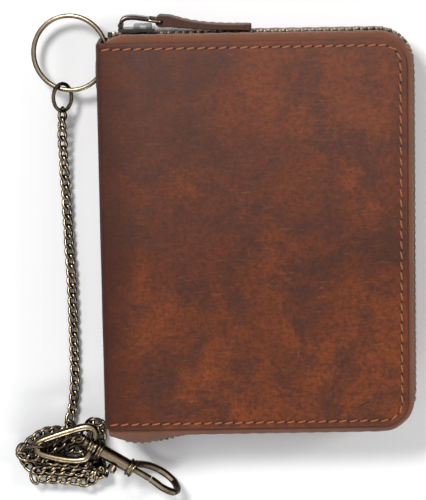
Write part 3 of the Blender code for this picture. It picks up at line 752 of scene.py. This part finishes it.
def tapes():
    """The two woven tapes between the covers, each bent over from its cover towards the teeth."""
    total, at = walk(zip_route())
    for side in ("front", "back"):
        front = side == "front"
        rings = []
        count = 420
        for index in range(count + 1):
            length = total * index / count
            place, along = at(length)
            out = Vector((-along.y, along.x, 0))
            taper = min(1.0, length / (4.5 * MM)) ** 0.6
            extra = bulge(length, total)
            rise = [(-4.6 * MM, 1.75), (-1.2 * MM, 1.75), (0.6 * MM, 1.8), (1.55 * MM * taper, 2.05),
                    (TAPE_OUT * taper + extra * 0.45, 2.9), (TAPE_OUT * taper + extra * 0.8, 4.6),
                    ((TAPE_OUT - 0.15 * MM) * taper + extra, 7.0),
                    ((TAPE_OUT - 0.5 * MM) * taper + extra, 9.4)]
            upper, lower = [], []
            for step, (u, depth) in enumerate(rise):
                ripple = 0.06 * MM * math.sin(length / (0.8 * MM)) if step > 2 else 0.0
                z = THICK - depth * MM
                nudge = 0.45 * MM
                top_u, top_z = u + ripple, z
                low_u = u - nudge * min(1.0, step / 4)
                low_z = z - nudge * (1.0 - min(1.0, step / 4) * 0.6)
                upper.append(place + out * top_u + Vector((0, 0, top_z if front else THICK - top_z)))
                lower.append(place + out * low_u + Vector((0, 0, low_z if front else THICK - low_z)))
            rings.append(upper + lower[::-1])
        work = bmesh.new()
        skin(work, rings)
        bmesh.ops.recalc_face_normals(work, faces=work.faces)
        cloth = piece(side + "_tape_cloth", work, ["tape"], side, 70.0)
        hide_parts(side + "_tape")


def teeth():
    """Cast teeth clamped on the two tape edges, those of one row between those of the other."""
    total, at = walk(zip_route())
    count = int(total / PITCH)
    slider_end = SLIDER_END + 0.5 * MM
    slider_travel = 62.0 * MM
    for side in ("front", "back"):
        front = side == "front"
        work = bmesh.new()
        for index in range(count):
            length = PITCH * (index + (0.5 if front else 1.0))
            place, along = at(length)
            out = Vector((-along.y, along.x, 0))
            if front and place.y > 0 and place.x < slider_end:
                continue
            if place.x < TAPE_START:
                continue
            extra = bulge(length, total) + 0.75 * MM * min(max((length - 0.07) / 0.03, 0.0), 1.0)
            sign = 1.0 if front else -1.0
            turn = Matrix((along, out, Vector((0, 0, 1)))).transposed().to_4x4()
            parted = place.y > 0 and place.x < slider_end + slider_travel
            reach = 2.15 * MM if parted else 2.9 * MM
            middle = place + out * (1.66 * MM + extra) + Vector((0, 0, MID + sign * (2.6 * MM - reach / 2)))
            block(work, Matrix.Translation(middle) @ turn, (1.15 * MM, 1.7 * MM, reach), 0.22 * MM)
            if not parted:
                nose = place + out * (1.66 * MM + extra) + Vector((0, 0, MID - sign * 0.15 * MM))
                block(work, Matrix.Translation(nose) @ turn, (0.8 * MM, 1.0 * MM, 0.9 * MM), 0.15 * MM)
        row = piece(side + "_zip_teeth", work, ["teeth"], side, 40.0)
        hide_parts(side + "_teeth")
    work = bmesh.new()
    for index in range(9):
        share = (index + 0.5) / 9
        x = tail_low[0] + (tail_high[0] - tail_low[0]) * (0.12 + 0.76 * share)
        y = tail_low[1] + (tail_high[1] - tail_low[1]) * (0.75 - 0.5 * math.sin(math.pi * share))
        block(work, Matrix.Translation((x, y, MID)), (1.2 * MM, 1.4 * MM, 4.6 * MM), 0.2 * MM)
    tail = piece("zip_tail_teeth", work, ["slider"], "back", 40.0)
    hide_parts("zip_tail")


# ---------------------------------------------------------------- tab, ring, eyelet and small links

def pull_tab():
    """Doubled leather folded round the puller's bar, edge-stained and stitched."""
    pivot = Vector(JOINTS["tab_swing"]["pos_m"])
    low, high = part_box("pull_tab")
    end_x = high[0]
    end_y = low[1]
    thick = 1.7 * MM
    outer_r = 1.8 * MM

    def upper_y(share):
        return end_y + thick + (pivot.y + 1.5 * MM - end_y - thick) * (1 - share) ** 3.0

    def lower_y(share):
        return end_y + (pivot.y - 1.8 * MM - end_y) * (1 - share) ** 2.0

    half = (high[2] - low[2]) / 2
    work = bmesh.new()
    slices = 21
    rings = []
    for index in range(slices):
        z = -half + 2 * half * index / (slices - 1)
        pull = 3.0 * MM
        over = max(0.0, abs(z) - (half - pull))
        shorten = pull - math.sqrt(max(pull ** 2 - over ** 2, 0.0))
        thin = 0.0 if 0 < index < slices - 1 else 0.25 * MM
        ring = []
        for step in range(13):
            angle = math.radians(75 + 195 * step / 12)
            radius = outer_r - thin
            ring.append((pivot.x + radius * math.cos(angle), pivot.y + radius * math.sin(angle)))
        steps = 16
        for step in range(steps + 1):
            share = step / steps
            x = pivot.x + 3.0 * MM + (end_x - shorten - pivot.x - 3.0 * MM) * share
            ring.append((x, lower_y(share) + thin))
        for step in range(steps + 1):
            share = 1 - step / steps
            x = pivot.x + 3.0 * MM + (end_x - shorten - pivot.x - 3.0 * MM) * share
            ring.append((x, upper_y(share) - thin))
        rings.append([Vector((x, y, pivot.z + z)) for x, y in ring])
    skin(work, rings)
    bmesh.ops.recalc_face_normals(work, faces=work.faces)
    for face in work.faces:
        if abs(face.normal.z) > 0.6:
            face.material_index = 1
    tab = piece("leather_tab", work, ["tab", "edge"], "tab", 35.0)
    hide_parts("pull_tab")
    for name, side in (("tab_stitches_outer", 1.0), ("tab_stitches_inner", -1.0)):
        inset = half - 1.2 * MM
        near, far = pivot.x + 4.0 * MM, end_x - 1.4 * MM

        def face_y(x):
            share = (x - pivot.x - 3.0 * MM) / (end_x - pivot.x - 3.0 * MM)
            return upper_y(share) if side > 0 else lower_y(share)

        spots = [(near, -inset)] + [(near + (far - near) * k / 12, -inset) for k in range(1, 12)]
        spots += [(far, -inset + 1.0 * MM), (far, inset - 1.0 * MM)]
        spots += [(near + (far - near) * k / 12, inset) for k in range(11, -1, -1)]
        path = [Vector((x, face_y(x), pivot.z + z)) for x, z in spots]
        total, at = walk(path)
        count = round(total / (2.6 * MM))
        work = bmesh.new()
        for index in range(count):
            centre, along = at(total * (index + 0.5) / count)
            lift = Vector((0, side, 0))
            points = [centre + along * 0.9 * MM * b + lift * (0.09 * (1 - b * b) - 0.09) * MM
                      for b in (-1, -0.5, 0, 0.5, 1)]
            tube(work, points, 0.15 * MM, sides=6)
        piece(name, work, ["thread"], "tab", 50.0)


def puller():
    """A bent strap hinged on the slider's pin, with a wire loop at its end for the leather tab."""
    pin = Vector(JOINTS["puller_swing"]["pos_m"])
    bar = Vector(JOINTS["tab_swing"]["pos_m"])
    path = [(0.05, 0.0), (0.12, 0.7), (0.6, 1.65), (1.9, 2.25), (4.2, 2.3), (6.4, 2.0), (8.4, 1.7)]
    route = smooth_route([Vector((x, y, 0)) * MM for x, y in path], 5)
    work = bmesh.new()
    for side in (-1.0, 1.0):
        rings = []
        for index, point in enumerate(route):
            along = (route[min(index + 1, len(route) - 1)] - route[max(index - 1, 0)]).normalized()
            out = Vector((-along.y, along.x, 0))
            share = index / (len(route) - 1)
            inner = 1.75 * MM * max(0.0, 1.0 - max(0.0, share - 0.25) / 0.3)
            outer = 2.75 * MM
            thick = (0.34 + 0.34 * min(share / 0.35, 1.0)) * MM
            ring = []
            for level, z in ((-1, inner), (1, inner), (1, outer - 0.25 * MM), (0.5, outer), (-0.5, outer),
                             (-1, outer - 0.25 * MM)):
                ring.append(pin + point + out * thick * level + Vector((0, 0, side * max(z, 0.0))))
            rings.append(ring if side > 0 else ring[::-1])
        skin(work, rings)
        knuckle = Matrix.Translation(pin + Vector((0, 0, side * 2.25 * MM)))
        lathe(work, [(-0.5 * MM, 0.4 * MM), (-0.5 * MM, 0.85 * MM), (0.5 * MM, 0.85 * MM),
                     (0.5 * MM, 0.4 * MM)], knuckle @ Matrix.Rotation(math.pi / 2, 4, "Y"))
    bmesh.ops.recalc_face_normals(work, faces=work.faces)
    strap = piece("puller_strap", work, ["slider"], "puller", 45.0)
    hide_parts("puller_link")
    half = (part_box("pull_tab")[1][2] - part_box("pull_tab")[0][2]) / 2 + 1.1 * MM
    left = pin.x + 8.2 * MM
    corner = 1.1 * MM
    loop = []
    for cx, cz, start in ((left + corner, -half + corner, 180), (bar.x - corner, -half + corner, 270),
                          (bar.x - corner, half - corner, 0), (left + corner, half - corner, 90)):
        for step in range(7):
            angle = math.radians(start + 15 * step)
            x = cx + corner * math.cos(angle)
            share = (x - left) / (bar.x - left)
            y = pin.y + 1.75 * MM + (bar.y - pin.y - 1.75 * MM) * share
            loop.append((x, y, pin.z + cz + corner * math.sin(angle)))
    work = bmesh.new()
    tube(work, loop, 0.55 * MM, sides=12, cyclic=True)
    bmesh.ops.recalc_face_normals(work, faces=work.faces)
    piece("puller_loop", work, ["brass"], "puller", 60.0)


def split_ring():
    """Two turns of flattened wire with the step where they part."""
    joint = JOINTS["ring_spin"]
    axis = Vector(joint["axis"]).normalized()
    centre = Vector(joint["pos_m"])
    side = Vector((0, 1, 0))
    across = side.cross(axis).normalized()
    low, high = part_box("key_ring")
    radius = (high[1] - low[1]) / 2 - 0.85 * MM
    work = bmesh.new()
    rings = []
    steps = 180
    for index in range(steps + 1):
        angle = math.radians(4) + (2 * math.tau - math.radians(8)) * index / steps + math.radians(250)
        turn = 2.0 * index / steps
        level = -0.38 * MM
        blend = min(max((turn - 0.93) / 0.14, 0.0), 1.0)
        level += 0.76 * MM * blend * blend * (3 - 2 * blend)
        spoke = across * math.cos(angle) + side * math.sin(angle)
        middle = centre + spoke * radius + axis * level
        ring = []
        for k in range(14):
            t = math.tau * k / 14
            ring.append(middle + spoke * 0.68 * MM * math.cos(t) + axis * 0.37 * MM * math.sin(t))
        rings.append(ring)
    skin(work, rings)
    bmesh.ops.recalc_face_normals(work, faces=work.faces)
    ring = piece("split_ring", work, ["brass"], "ring", 50.0)
    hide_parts("key_ring")


def inside():
    """Edge stitching and turned mouths on the pockets, on the side that faces into the wallet."""
    sheets = [("front_lining", "front", -1.0)]
    sheets += [(f"card_pocket_{number}", "front", -1.0) for number in range(1, 5)]
    sheets += [("back_lining", "back", 1.0), ("note_pocket", "back", 1.0)]
    sheets += [(f"back_card_pocket_{number}", "back", 1.0) for number in range(1, 4)]
    for name, body, up in sheets:
        finish_node(name, "lining", 0.18 * MM)
        low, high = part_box(name)
        level = high[2] if up > 0 else low[2]
        inset = 1.6 * MM
        mouth = high[1] - inset
        route = [Vector((low[0] + inset, mouth, level)), Vector((high[0] - inset, mouth, level))]
        stitches(name + "_mouth_stitches", route, body, up, 2.8 * MM, 2.0 * MM, 0.2 * MM, 0.08)
        work = bmesh.new()
        first = Vector((low[0] + 2.2 * MM, high[1] - 0.1 * MM, level - up * 0.25 * MM))
        last = Vector((high[0] - 3.2 * MM, high[1] - 0.1 * MM, level - up * 0.25 * MM))
        tube(work, [first.lerp(last, k / 20) for k in range(21)], 0.34 * MM, sides=10)
        piece(name + "_turned_edge", work, ["lining"], body, 60.0)
    for name, body, up in (("card_pocket_4", "front", -1.0), ("back_card_pocket_3", "back", 1.0)):
        low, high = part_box(name)
        level = high[2] if up > 0 else low[2]
        inset = 1.6 * MM
        corners = [Vector((low[0] + inset, high[1] - 4 * MM, level)),
                   Vector((low[0] + inset, low[1] + inset, level)),
                   Vector((high[0] - inset, low[1] + inset, level)),
                   Vector((high[0] - inset, high[1] - 4 * MM, level))]
        stitches(name + "_side_stitches", corners, body, up, 2.8 * MM, 2.0 * MM, 0.2 * MM, 0.08)


def revolve(work, loop, matrix, sides=36):
    """A ring-shaped solid about the local x axis from a closed loop of (along, radius) points."""
    made = []
    for k in range(sides):
        angle = math.tau * k / sides
        made.append([work.verts.new(matrix @ Vector((x, r * math.cos(angle), r * math.sin(angle))))
                     for x, r in loop])
    for k in range(sides):
        first, second = made[k], made[(k + 1) % sides]
        for j in range(len(loop)):
            after = (j + 1) % len(loop)
            work.faces.new((first[j], first[after], second[after], second[j]))


def hook_axis():
    """The swivel's axis, pointing from the eye towards the hook."""
    along = Vector(JOINTS["hook_swivel"]["axis"]).normalized()
    return -along if along.x < 0 else along


def hook_matrix():
    """The hook's own place: x along the swivel's axis and z up."""
    along = hook_axis()
    up = Vector((0, 0, 1))
    turn = Matrix((along, up.cross(along), up)).transposed().to_4x4()
    return Matrix.Translation(Vector(JOINTS["hook_swivel"]["pos_m"])) @ turn


def swivel_eye():
    """The bent wire eye with the flanged boss that the hook's post turns in."""
    foot = Vector((LEFT, -TOP, 0.0))
    corners = [(-3.4, -4.7, 8.3), (-5.9, -11.4, 8.3), (-8.4, -12.9, 8.2), (-13.6, -12.7, 7.8),
               (-20.4, -11.0, 7.35), (-22.1, -8.9, 7.2), (-20.7, -6.8, 7.3), (-11.6, -3.6, 7.9),
               (-5.6, -2.3, 8.3)]
    closed = [foot + Vector(point) * MM for point in corners]
    route = smooth_route([closed[-1]] + closed + closed[:2], 8)[8:-9]
    work = bmesh.new()
    tube(work, route, 1.2 * MM, sides=18, cyclic=True)
    loop = [(-2.2, 1.15), (-2.2, 2.35), (-2.05, 2.62), (-1.7, 2.75), (-1.35, 2.62), (-1.2, 2.3), (-0.4, 2.3),
            (-0.25, 2.62), (0.1, 2.75), (0.45, 2.62), (0.6, 2.35), (0.6, 1.15)]
    revolve(work, [(x * MM, r * MM) for x, r in loop], hook_matrix())
    bmesh.ops.recalc_face_normals(work, faces=work.faces)
    eye = piece("swivel_eye", work, ["brass"], "back", 45.0)
    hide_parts("hook_eye")
    return eye


def hook_beads():
    """Raised beads round the swivel's two rims and the barrel's collar."""
    start = Vector(JOINTS["hook_swivel"]["pos_m"])
    along = hook_axis()
    side = along.orthogonal().normalized()
    across = along.cross(side)
    work = bmesh.new()
    for at, radius in ((1.25, 2.9), (2.15, 2.75), (12.6, 2.75), (13.8, 2.85)):
        points = [start + along * at * MM + (side * math.cos(math.tau * k / 36)
                  + across * math.sin(math.tau * k / 36)) * (radius - 0.12) * MM for k in range(36)]
        tube(work, points, 0.34 * MM, sides=10, cyclic=True)
    bmesh.ops.recalc_face_normals(work, faces=work.faces)
    piece("barrel_beads", work, ["brass"], "hook", 60.0)


def hardware():
    """Finishes of the metal parts that stay as they are in the frame."""
    hook_beads()
    for name in ("eyelet", "eyelet_washer", "jump_link", "chain_end_link"):
        finish_node(name, "brass")
    for name, edge in (("hook_body", 0.12 * MM), ("swivel_post", 0.15 * MM),
                       ("bolt", 0.2 * MM), ("thumb_knob", 0.35 * MM)):
        finish_node(name, "brass", edge)
    finish_node("bolt_spring", "nickel")
    for name, edge in (("slider_body", 0.25 * MM), ("puller_pin", 0.1 * MM),
                       ("top_stop", 0.2 * MM), ("end_stop", 0.2 * MM)):
        finish_node(name, "slider", edge)
    finish_node("slider_crown", "nickel", 0.2 * MM)


camera()
links, chain_path = chain()
studio()
case()
tapes()
teeth()
pull_tab()
puller()
split_ring()
inside()
hardware()
eye = swivel_eye()
